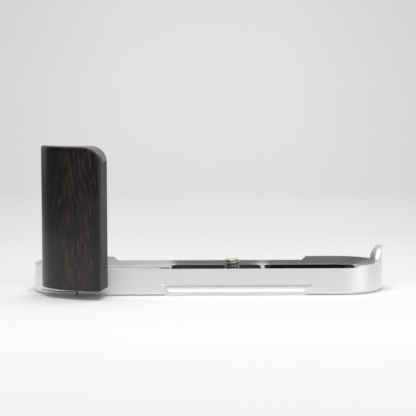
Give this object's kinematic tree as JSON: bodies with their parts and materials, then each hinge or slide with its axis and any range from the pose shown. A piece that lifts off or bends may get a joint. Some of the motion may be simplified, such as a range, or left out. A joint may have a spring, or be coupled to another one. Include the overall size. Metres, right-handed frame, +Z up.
{
  "type": "camera hand grip",
  "caption": "Aluminium camera base tray with a dark wooden side grip, captive camera screw, rubber pads, hinged battery door and dovetail rails along both long edges.",
  "frame": {"origin": "middle of the tray's underside", "axes": "+X along the tray away from the grip, +Z up towards the camera, -Y towards the front where the grip stands out"},
  "size_m": [0.142, 0.0506, 0.06],
  "materials": {
    "frame_aluminium": "fine bead-blasted, clear anodised, satin silver",
    "black_aluminium": "black anodised",
    "steel": "stainless, machined",
    "magnet_nickel": "bright nickel plate",
    "nylon": "natural white nylon",
    "pad_rubber": "black moulded rubber, matt",
    "liner_rubber": "black foam rubber band",
    "dark_wood": "oiled very dark hardwood, satin",
    "brass": "turned brass"
  },
  "bodies": {
    "base": {"base_frame": "frame_aluminium", "floor_pad_left": "pad_rubber", "floor_pad_right": "pad_rubber", "grip_block": "dark_wood", "grip_spine": "black_aluminium", "grip_liner": "liner_rubber", "frame_screw_1": "steel", "frame_screw_2": "steel", "grip_screw_1": "steel", "grip_screw_2": "steel", "grip_screw_3": "steel", "grip_insert_1": "brass", "grip_insert_2": "brass", "grip_insert_3": "brass", "frame_magnet_1": "magnet_nickel", "frame_magnet_2": "magnet_nickel", "door_hinge_pin": "steel"},
    "door": {"battery_door": "frame_aluminium", "door_magnet_1": "magnet_nickel", "door_magnet_2": "magnet_nickel"},
    "screw_carrier": {"screw_washer": "nylon", "screw_clip": "steel"},
    "screw": {"camera_screw": "steel"}
  },
  "joints": [
    {"name": "door_hinge", "type": "hinge", "parent": "base", "child": "door", "pos_m": [-0.0178, 0, 0.00135], "axis": [0, -1, 0], "range_deg": [0, 95]},
    {"name": "screw_float", "type": "slide", "parent": "base", "child": "screw_carrier", "axis": [0, 0, 1], "range_m": [0, 0.0006]},
    {"name": "screw_turn", "type": "hinge", "parent": "screw_carrier", "child": "screw", "pos_m": [0.0097, 0, 0.0068], "axis": [0, 0, 1], "continuous": true}
  ]
}
